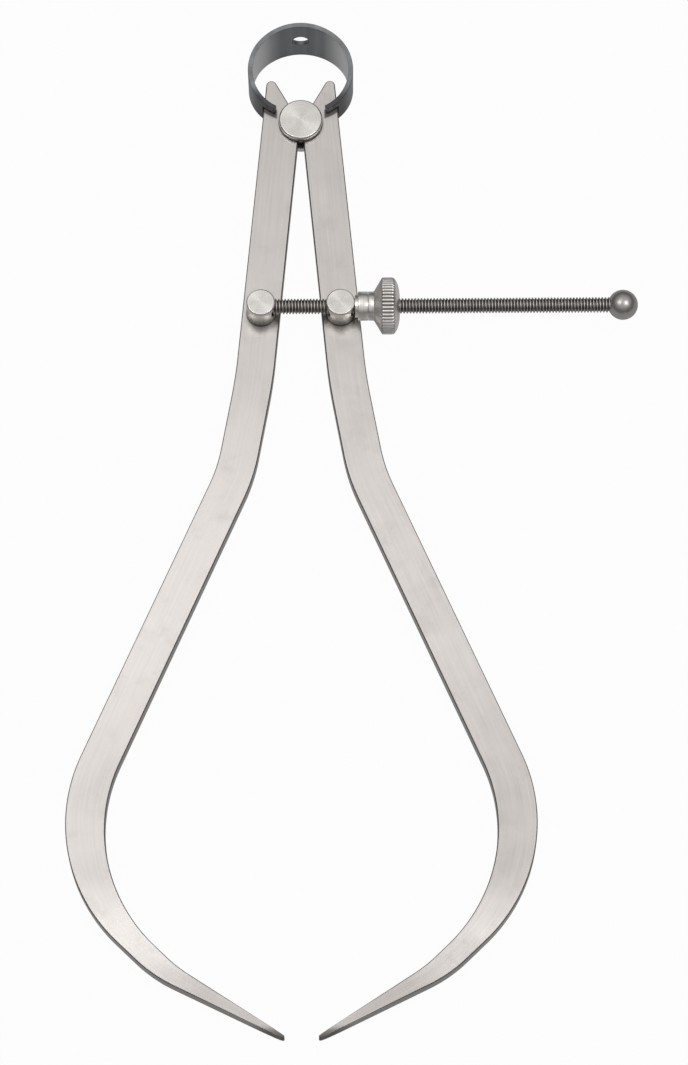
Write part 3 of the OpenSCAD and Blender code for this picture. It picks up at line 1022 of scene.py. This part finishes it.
    def make(self) -> None:
        """Builds, dresses and hangs both legs."""
        material = self.finish.material("leg_steel")
        for side, name, node in ((Side.LEFT, "leg_left", "left_leg"), (Side.RIGHT, "leg_right", "right_leg")):
            piece = self.build(side, name)
            dress(piece, material)
            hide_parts(node)
            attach(piece, node)


def ripples(r_in: float, r_out: float, height: float, pitch: float, depth: float) -> Section:
    """The tool's fine rings on a turned face, from the outside in."""
    count = int((r_out - r_in) / pitch * 2)
    return [(r_out - (r_out - r_in) * i / count, height - depth * (i % 2)) for i in range(1, count + 1)]


@dataclass
class Roller:
    """The grooved roller that the legs turn on."""

    core_d: float = CORE_D
    flange_d: float = 14.0
    flange_t: float = 2.35
    flange_c: float = 0.4
    leg_t: float = LEG_T
    play: float = 0.15
    edge_r: float = 0.1
    ring_pitch: float = 0.42
    ring_depth: float = 0.008
    finish: TurnedSteel = TurnedSteel((0.92, 0.883, 0.85), (0.67, 0.643, 0.616), shade_low=3.4, shade_high=4.9)

    def make(self) -> None:
        """Builds, dresses and hangs the roller."""
        groove = self.leg_t / 2 + self.play
        top = groove + self.flange_t
        r, c = self.flange_d / 2, self.flange_c
        face = ripples(0.3, r - c, top, self.ring_pitch, self.ring_depth)
        section = [(p[0], -p[1]) for p in reversed(face)] + [(r - c, -top), (r, c - top), (r, -groove)]
        section += [(self.core_d / 2, -groove), (self.core_d / 2, groove)]
        section += [(r, groove), (r, top - c), (r - c, top)]
        piece = turned("roller", section + face, 128, False)
        break_edges(piece, self.edge_r, 2, 30.0)
        centre = (0.0, FULCRUM_Y, 0.0)
        bring(piece, centre, Axis.ALONG_Z)
        smooth(piece, 25.0)
        dress(piece, self.finish.material("roller_steel", centre, Axis.ALONG_Z))
        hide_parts("fulcrum_roller")
        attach(piece, "head")


@dataclass
class Bow:
    """The forked bow spring, in two halves that meet in the crown."""

    bow_d: float = 34.0
    side_r: float = 14.9
    crown_deg: float = 46.4
    bow_rise: float = BOW_RISE
    bow_t: float = 1.5
    bow_w: float = 19.5
    end_w: float = 12.0
    fork_deg: float = -46.891
    end_deg: float = -64.708
    fork_w: float = 5.6
    cell_w: float = 2.3
    hole_d: float = 5.2
    hole_l: float = 8.0
    edge_r: float = 0.12
    finish: SpringSteel = field(default_factory=SpringSteel)

    def line(self) -> Tuple[List[Vector], int]:
        """The strap's middle line from one end over the crown to the other.

        Returns:
            Its points from the fulcrum, and how many cells each fork's slot takes at the ends.
        """
        slot_cells, side_cells, crown_cells = 8, 52, 26
        side = vec(self.bow_d / 2 - self.side_r, self.bow_rise)
        turn = math.radians(self.crown_deg)
        crown_r = self.side_r + side.x / math.sin(turn) - self.bow_t / 2
        crown = vec(0, self.bow_rise - side.x / math.tan(turn))
        mid_r, join = self.side_r - self.bow_t / 2, 90 - self.crown_deg
        half = arc(side, self.end_deg, self.fork_deg, mid_r, slot_cells)
        half += arc(side, self.fork_deg, join, mid_r, side_cells)
        half += arc(crown, join, 90, crown_r, crown_cells)
        return half + [crown + vec(0, crown_r)] + [vec(-p.x, p.y) for p in reversed(half)], slot_cells

    def taper(self, piece: bpy.types.Object) -> None:
        """Narrows the strap outside its slots, from the crown to the forks."""
        slot, full = self.fork_w / 2, self.bow_w / 2
        fork_y = self.bow_rise + (self.side_r - self.bow_t / 2) * math.sin(math.radians(self.fork_deg))
        slope = (self.bow_w - self.end_w) / 2 / (-FULCRUM_Y - fork_y)
        for corner in piece.data.vertices:
            high = abs(corner.co.z) / MM
            if high > slot:
                here = full + corner.co.y / MM * slope
                high = slot + (high - slot) * (here - slot) / (full - slot)
                corner.co.z = math.copysign(high * MM, corner.co.z)

    def build(self) -> bpy.types.Object:
        """Models the whole strap with its forks and its hole."""
        points, slot_cells = self.line()
        half, slot, cell = self.bow_w / 2, self.fork_w / 2, self.cell_w
        above = [slot / 3, slot, half - 2 * cell, half - cell, half]
        levels = [-level for level in reversed(above)] + above
        along = lengths(points)

        def placing(i: int, j: int) -> Tuple[Vector, Point]:
            """A corner of the strap's middle face."""
            flat = Vector((points[j].x, points[j].y + FULCRUM_Y, levels[i]))
            return flat * MM, (levels[i], along[j])

        piece = laid_grid("bow", len(levels) - 1, len(points) - 1, placing)
        first, last = along[slot_cells], along[-1 - slot_cells]
        with reshaped(piece) as shape:
            lay = shape.loops.layers.uv.active
            gone = []
            for face in shape.faces:
                middle = sum(loop[lay].uv.y for loop in face.loops) / len(face.loops)
                if abs(face.calc_center_median().z) < slot * MM and not first < middle < last:
                    gone.append(face)
            bmesh.ops.delete(shape, geom=gone, context="FACES")
        apply(piece, "SOLIDIFY", thickness=self.bow_t * MM, offset=0.0, use_even_offset=True)
        outward(piece)
        self.taper(piece)
        drill(piece, (0.0, 0.0, 0.0), self.hole_l, self.hole_d / 2, (math.pi / 2, 0.0, 0.0), 64)
        break_edges(piece, self.edge_r, 1, 40.0)
        return piece

    def make(self) -> None:
        """Builds, cuts and dresses both halves."""
        material = self.finish.material("spring_steel")
        right = self.build()
        left = right.copy()
        left.data = right.data.copy()
        bpy.context.scene.collection.objects.link(left)
        for piece, side, leg in ((left, Side.LEFT, "left_leg"), (right, Side.RIGHT, "right_leg")):
            piece.name = "bow_" + side.name.lower()
            cut(piece, (0.0, 0.0, 0.0), (1.0, 0.0, 0.0), side is Side.RIGHT)
            smooth(piece, 30.0)
            dress(piece, material)
            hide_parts("bow_spring")
            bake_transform(piece)


@dataclass
class Studs:
    """The two swivel studs on the blades, with their washers behind the legs."""

    stud_x: float = STUD_X
    stud_y: float = STUD_Y
    leg_t: float = LEG_T
    stud_d: float = 9.1
    stud_h: float = 8.5
    stud_c: float = 0.35
    play: float = 0.15
    shank_d: float = 5.0
    washer_d: float = 8.4
    washer_t: float = 0.8
    rivet_d: float = 6.6
    rivet_h: float = 0.9
    screw_rise: float = 4.9
    hole_d: float = 6.0
    floor_x: float = 0.8
    seat_c: float = 0.02
    washer_c: float = 0.12
    edge_r: float = 0.1
    ring_pitch: float = 0.34
    ring_depth: float = 0.008
    finish: TurnedSteel = TurnedSteel(shade_low=4.2, shade_high=10.9)

    def body(self, name: str) -> bpy.types.Object:
        """Turns one stud at the origin: rivet, shank and head."""
        front = self.leg_t / 2
        top = front + self.stud_h
        washer_low = -front - self.play - self.washer_t
        low = washer_low - self.rivet_h
        r, c, rivet = self.stud_d / 2, self.stud_c, self.rivet_d / 2
        section = [(0.4, low), (rivet - 0.8, low), (rivet - 0.35, low + 0.12), (rivet, low + 0.45)]
        section += [(rivet, washer_low), (self.shank_d / 2, washer_low), (self.shank_d / 2, front + self.play)]
        section += [(r, front + self.play), (r, top - c), (r - c, top)]
        return turned(name, section + ripples(0.3, r - c, top, self.ring_pitch, self.ring_depth), 112, False)

    def make_stud(self, side: Side, name: str, node: str, rider: str) -> None:
        """Builds, dresses and hangs one stud."""
        centre = (side.value * self.stud_x, self.stud_y, 0.0)
        axis_z = self.leg_t / 2 + self.screw_rise
        piece = self.body(name)
        bring(piece, centre, Axis.ALONG_Z)
        start, length = self.floor_x if side is Side.LEFT else -self.stud_d, self.stud_d * 2.2
        middle = (centre[0] + start + length / 2, centre[1], axis_z)
        drill(piece, middle, length, self.hole_d / 2, (0.0, math.pi / 2, 0.0), 96)
        break_edges(piece, self.edge_r, 2, 38.0)
        smooth(piece, 25.0)
        dress(piece, self.finish.material(name + "_steel", centre, Axis.ALONG_Z))
        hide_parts(node)
        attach(piece, rider)

    def make_washer(self, side: Side, name: str, node: str, rider: str) -> None:
        """Builds, dresses and hangs one washer behind a leg."""
        centre = (side.value * self.stud_x, self.stud_y, 0.0)
        high = -self.leg_t / 2 - self.play
        low, r, c = high - self.washer_t, self.washer_d / 2, self.washer_c
        bore = self.shank_d / 2 + self.seat_c
        section = [(bore, low), (r - c, low), (r, low + c), (r, high - c), (r - c, high), (bore, high)]
        piece = turned(name, section + [(bore, low)], 96, True)
        bring(piece, centre, Axis.ALONG_Z)
        smooth(piece, 25.0)
        dress(piece, self.finish.material(name + "_steel", centre, Axis.ALONG_Z))
        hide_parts(node)
        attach(piece, rider)

    def make(self) -> None:
        """Makes both studs and both washers."""
        self.make_stud(Side.LEFT, "stud_of_screw", "screw_stud", "screw_post")
        self.make_stud(Side.RIGHT, "stud_of_nut", "nut_stud", "nut_post")
        self.make_washer(Side.LEFT, "washer_of_screw", "screw_stud_washer", "screw_post")
        self.make_washer(Side.RIGHT, "washer_of_nut", "nut_stud_washer", "nut_post")


@dataclass
class Screw:
    """The threaded rod and the ball on its end."""

    stud_x: float = -STUD_X
    stud_y: float = STUD_Y
    screw_z: float = SCREW_Z
    screw_d: float = 4.9
    screw_l: float = 114.2
    floor_x: float = 0.8
    pitch: float = 1.0
    thread_depth: float = 0.56
    steps: int = 28
    ball_d: float = 9.5
    seat_c: float = 0.02
    black: BlackSteel = field(default_factory=BlackSteel)
    polished: PolishedSteel = field(default_factory=PolishedSteel)

    def end(self) -> float:
        """Where the thread ends, in the ball's side."""
        return self.screw_l - math.sqrt((self.ball_d / 2) ** 2 - (self.screw_d / 2) ** 2)

    def thread(self) -> bpy.types.Object:
        """Winds the thread from one pitch of its profile and trims both ends."""
        crest, root = self.screw_d / 2, self.screw_d / 2 - self.thread_depth
        profile = [(root, 0.0), (root, 0.18), (crest, 0.46), (crest, 0.72), (root, 1.0)]
        fresh()
        bpy.ops.mesh.primitive_plane_add(size=self.pitch * MM)
        piece = bpy.context.object
        piece.name = "threaded_rod"
        with reshaped(piece) as shape:
            far = [v for v in shape.verts if v.co.x > 0]
            bmesh.ops.delete(shape, geom=far, context="VERTS")
            bmesh.ops.subdivide_edges(shape, edges=shape.edges[:], cuts=len(profile) - 2)
            for corner, (radius, height) in zip(sorted(shape.verts, key=lambda v: v.co.y), profile):
                corner.co = Vector((radius * MM, 0.0, height * self.pitch * MM))
        first, last = self.floor_x, self.end()
        turns = int((last - first) / self.pitch) + 3
        apply(
            piece,
            "SCREW",
            angle=2 * math.pi,
            screw_offset=self.pitch * MM,
            iterations=turns,
            steps=self.steps,
            render_steps=self.steps,
            axis="Z",
            use_merge_vertices=True,
            merge_threshold=1e-6,
        )
        outward(piece)
        piece.location = Vector((0, 0, first - self.pitch)) * MM
        settle(piece)
        for height, keep_above in ((first, True), (last, False)):
            cut(piece, (0.0, 0.0, height), (0.0, 0.0, 1.0), keep_above)
        outward(piece)
        return piece

    def ball(self) -> bpy.types.Object:
        """Turns the ball, with the seat that takes the rod."""
        r, seat = self.ball_d / 2, self.screw_d / 2 + self.seat_c
        first = math.degrees(math.acos(math.sqrt(1 - (seat / r) ** 2)))
        last, cells = 179.2, 60
        section = [(0.5, self.end()), (seat, self.end())]
        for i in range(cells + 1):
            turn = math.radians(first + (last - first) * i / cells)
            section.append((r * math.sin(turn), self.screw_l - r * math.cos(turn)))
        return turned("ball", section, 96, False)

    def make(self) -> None:
        """Builds, dresses and hangs the rod and the ball."""
        centre = (self.stud_x, self.stud_y, self.screw_z)
        rod = self.thread()
        bring(rod, centre, Axis.ALONG_X)
        smooth(rod, 24.0)
        dress(rod, self.black.material("black_steel", centre, self.screw_d / 2))
        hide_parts("adjusting_screw")
        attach(rod, "screw_post")
        ball = self.ball()
        bring(ball, centre, Axis.ALONG_X)
        smooth(ball, 40.0)
        middle = (self.stud_x + self.screw_l, self.stud_y, self.screw_z)
        dress(ball, self.polished.material("polished_steel", middle))
        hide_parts("ball_stop")
        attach(ball, "screw_post")


@dataclass
class Nut:
    """The knurled nut and the thrust washer that it pushes on."""

    stud_x: float = STUD_X
    stud_y: float = STUD_Y
    screw_z: float = SCREW_Z
    bore_r: float = 2.5
    thrust_x: float = 5.47
    thrust_d: float = 9.2
    thrust_t: float = 3.2
    boss_d: float = 7.2
    boss_l: float = 0.9
    edge_r: float = 0.08
    corner: float = 0.15
    gap: float = 0.3
    touch: float = 0.06
    nut_d: float = 18.0
    rim_w: float = 5.1
    rim_r: float = 0.6
    end_r: float = 1.8
    knurls: int = 46
    knurl_depth: float = 0.4
    knurl_fade: float = 0.7
    knurl_form: float = 0.8
    hub_d: float = 9.2
    hub_l: float = 1.6
    cone_l: float = 2.3
    dome_h: float = 0.7
    finish: TurnedSteel = TurnedSteel(
        (0.90, 0.865, 0.83), (0.64, 0.612, 0.585), gloss=0.32, anisotropy=0.0, crest_r=9.0
    )

    def washer(self) -> bpy.types.Object:
        """Turns the thrust washer with its boss."""
        r, c, b = self.thrust_d / 2, self.corner, self.bore_r
        section = [(b, -self.boss_l), (self.boss_d / 2, -self.boss_l), (self.boss_d / 2, 0.0)]
        section += [(r - c, 0.0), (r, c), (r, self.thrust_t - c), (r - c, self.thrust_t)]
        section += [(b, self.thrust_t), (b, -self.boss_l)]
        piece = turned("washer_of_thrust", section, 112, True)
        break_edges(piece, self.edge_r, 2, 30.0)
        return piece

    def nut(self) -> bpy.types.Object:
        """Turns the nut and presses the knurl into its rim."""
        r, rim_z = self.nut_d / 2, self.hub_l + self.cone_l
        end_z = rim_z + self.rim_w
        face, hub_r, c = self.touch - self.gap, self.hub_d / 2, self.corner
        section = [(self.bore_r, face), (hub_r - c, face), (hub_r, face + c)]
        section += [(hub_r, self.hub_l - 0.25), (hub_r + 0.12, self.hub_l)]
        low_c, high_c = rim_z + self.rim_r, end_z - self.end_r
        turns = [math.radians(a) for a in range(-60, 1, 12)]
        rim = [(r - self.rim_r + self.rim_r * math.cos(a), low_c + self.rim_r * math.sin(a)) for a in turns]
        hub, start = section[-1], rim[0]
        section += [(hub[0] + (start[0] - hub[0]) * t, hub[1] + (start[1] - hub[1]) * t) for t in (0.33, 0.67)]
        section += rim
        section += [(r, low_c + (high_c - low_c) * t) for t in (0.25, 0.5, 0.75)]
        wide, deep = r - self.bore_r, end_z + self.dome_h - high_c
        bend = [math.radians(a) for a in range(0, 91, 6)]
        section += [(self.bore_r + wide * math.cos(a), high_c + deep * math.sin(a)) for a in bend]
        section.append((self.bore_r, face))
        piece = turned("nut_knurled", section, self.knurls * 8, True)
        self.knurl(piece)
        return piece

    def knurl(self, piece: bpy.types.Object) -> None:
        """Presses the grooves into the rim, fading out over its rounded corners."""
        inner = self.nut_d / 2 - self.knurl_fade
        for corner in piece.data.vertices:
            radius = math.hypot(corner.co.x, corner.co.y) / MM
            share = min(1.0, max(0.0, (radius - inner) / (self.nut_d / 2 - inner)))
            if share == 0.0:
                continue
            turn = math.atan2(corner.co.y, corner.co.x) * self.knurls
            groove = 1.0 - abs(math.sin(turn / 2)) ** self.knurl_form
            shrink = 1.0 - self.knurl_depth * groove * share / radius
            corner.co.x *= shrink
            corner.co.y *= shrink

    def make(self) -> None:
        """Builds, dresses and hangs the washer and the nut."""
        washer_at = (self.stud_x + self.thrust_x, self.stud_y, self.screw_z)
        nut_at = (washer_at[0] + self.thrust_t + self.gap, self.stud_y, self.screw_z)
        washer, nut = self.washer(), self.nut()
        for piece, at, node, rider in (
            (washer, washer_at, "thrust_washer", "nut_post"),
            (nut, nut_at, "adjusting_nut", "nut"),
        ):
            bring(piece, at, Axis.ALONG_X)
            smooth(piece, 28.0)
            dress(piece, self.finish.material(piece.name + "_steel", at, Axis.ALONG_X))
            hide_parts(node)
            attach(piece, rider)


@dataclass
class Studio:
    """The pale table, the soft light and the camera."""

    target: Tuple[float, float, float] = (13.3, -174.59, 2.5)
    distance: float = 1300.0
    off_top_deg: float = 21.5
    roll_deg: float = -0.29
    focal_px: float = 4193.5
    sensor: float = 36.0
    tip_y: float = -335.2
    tip_z: float = -2.5
    bow_y: float = 0.0
    bow_z: float = -9.75
    table_size: float = 6.0
    table_grey: float = 0.40
    white_share: float = 0.97
    shine_share: float = 0.25
    zenith: float = 0.92
    horizon: float = 0.12
    rise_over: Point = (0.1, 0.95)
    aim: Tuple[float, float, float] = (0.0, -0.16, 0.0)
    lamps: Tuple[Tuple[str, Tuple[float, float, float], float, float], ...] = (
        ("lamp_left", (-0.56, -0.16, 1.24), 0.46, 2.6),
        ("lamp_right", (0.58, -0.29, 1.23), 0.46, 3.6),
        ("lamp_back", (-0.26, 0.30, 1.25), 0.5, 0.4),
    )

    def camera(self) -> None:
        """Sets the camera at the photograph's viewing angle."""
        data = bpy.data.cameras.new("camera")
        camera = bpy.data.objects.new("camera", data)
        bpy.context.scene.collection.objects.link(camera)
        tilt = math.radians(self.off_top_deg)
        back = Vector((0.0, -math.sin(tilt), math.cos(tilt)))
        camera.location = (Vector(self.target) + back * self.distance) * MM
        camera.rotation_mode = "QUATERNION"
        roll = Quaternion((0.0, 0.0, 1.0), math.radians(self.roll_deg))
        camera.rotation_quaternion = (-back).to_track_quat("-Z", "Y") @ roll
        data.sensor_width = self.sensor
        data.lens = self.focal_px * self.sensor / max(IMAGE_W, IMAGE_H)
        data.clip_start, data.clip_end = 0.01, 50.0
        bpy.context.scene.camera = camera

    def table(self) -> None:
        """Lays the table against the tips and the rear edge of the bow, where the caliper comes to rest."""
        fresh()
        slope = math.atan2(self.tip_z - self.bow_z, self.bow_y - self.tip_y)
        middle = Vector((0.0, (self.tip_y + self.bow_y) / 2, (self.tip_z + self.bow_z) / 2)) * MM
        bpy.ops.mesh.primitive_plane_add(size=self.table_size, location=middle, rotation=(-slope, 0.0, 0.0))
        table = bpy.context.object
        table.name = "table"
        material, paint = new_material("table_white")
        light = paint.node("ShaderNodeLightPath")
        glossy, through = paint.wire(light, "Is Glossy Ray"), paint.wire(light, "Is Transmission Ray")
        shine = paint.math("MAXIMUM", glossy, through)
        seen = paint.wire(light, "Is Camera Ray") * self.white_share + shine * self.shine_share
        diffuse = paint.node("ShaderNodeBsdfDiffuse", Color=(self.table_grey,) * 3)
        white = paint.node("ShaderNodeEmission", Color=(1.0, 1.0, 1.0), Strength=1.0)
        both = paint.node("ShaderNodeMixShader", n0=seen, n1=paint.wire(diffuse), n2=paint.wire(white))
        paint.node("ShaderNodeOutputMaterial", Surface=paint.wire(both))
        table.data.materials.append(material)

    def surroundings(self) -> None:
        """A room that is bright overhead and darker to the sides, and white behind the table."""
        world = bpy.data.worlds.new("room")
        bpy.context.scene.world = world
        world.use_nodes = True
        paint = Paint(world.node_tree)
        _, _, height = paint.split(paint.wire(paint.node("ShaderNodeTexCoord"), "Generated"))
        rise = paint.ramp(height, *self.rise_over)
        level = self.horizon + rise * (self.zenith - self.horizon)
        seen = paint.wire(paint.node("ShaderNodeLightPath"), "Is Camera Ray")
        sky = paint.node("ShaderNodeBackground", Strength=level + seen * (1.0 - level))
        paint.node("ShaderNodeOutputWorld", Surface=paint.wire(sky))

    def lamp(self, name: str, spot: Sequence[float], size: float, watts: float) -> None:
        """Hangs one soft lamp that faces the caliper.

        Args:
            name: the lamp's name.
            spot: its place, in metres.
            size: its width, in metres.
            watts: its power.
        """
        data = bpy.data.lights.new(name, "AREA")
        data.shape = "ELLIPSE"
        data.size = data.size_y = size
        data.energy = watts
        lamp = bpy.data.objects.new(name, data)
        lamp.location = spot
        towards = Vector(self.aim) - Vector(spot)
        lamp.rotation_mode = "QUATERNION"
        lamp.rotation_quaternion = towards.to_track_quat("-Z", "Y")
        bpy.context.scene.collection.objects.link(lamp)

    def make(self) -> None:
        """Sets up camera, table, room and lamps."""
        self.camera()
        self.table()
        self.surroundings()
        for name, spot, size, watts in self.lamps:
            self.lamp(name, spot, size, watts)
        bpy.context.scene.view_settings.view_transform = "Standard"


def main() -> None:
    """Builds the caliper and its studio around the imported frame."""
    logging.basicConfig(level=logging.INFO, format="%(name)s: %(message)s")
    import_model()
    Studio().make()
    for assembly in (Legs(), Roller(), Bow(), Studs(), Screw(), Nut()):
        assembly.make()
        LOG.info("%s done", type(assembly).__name__)


if __name__ == "__main__":
    main()
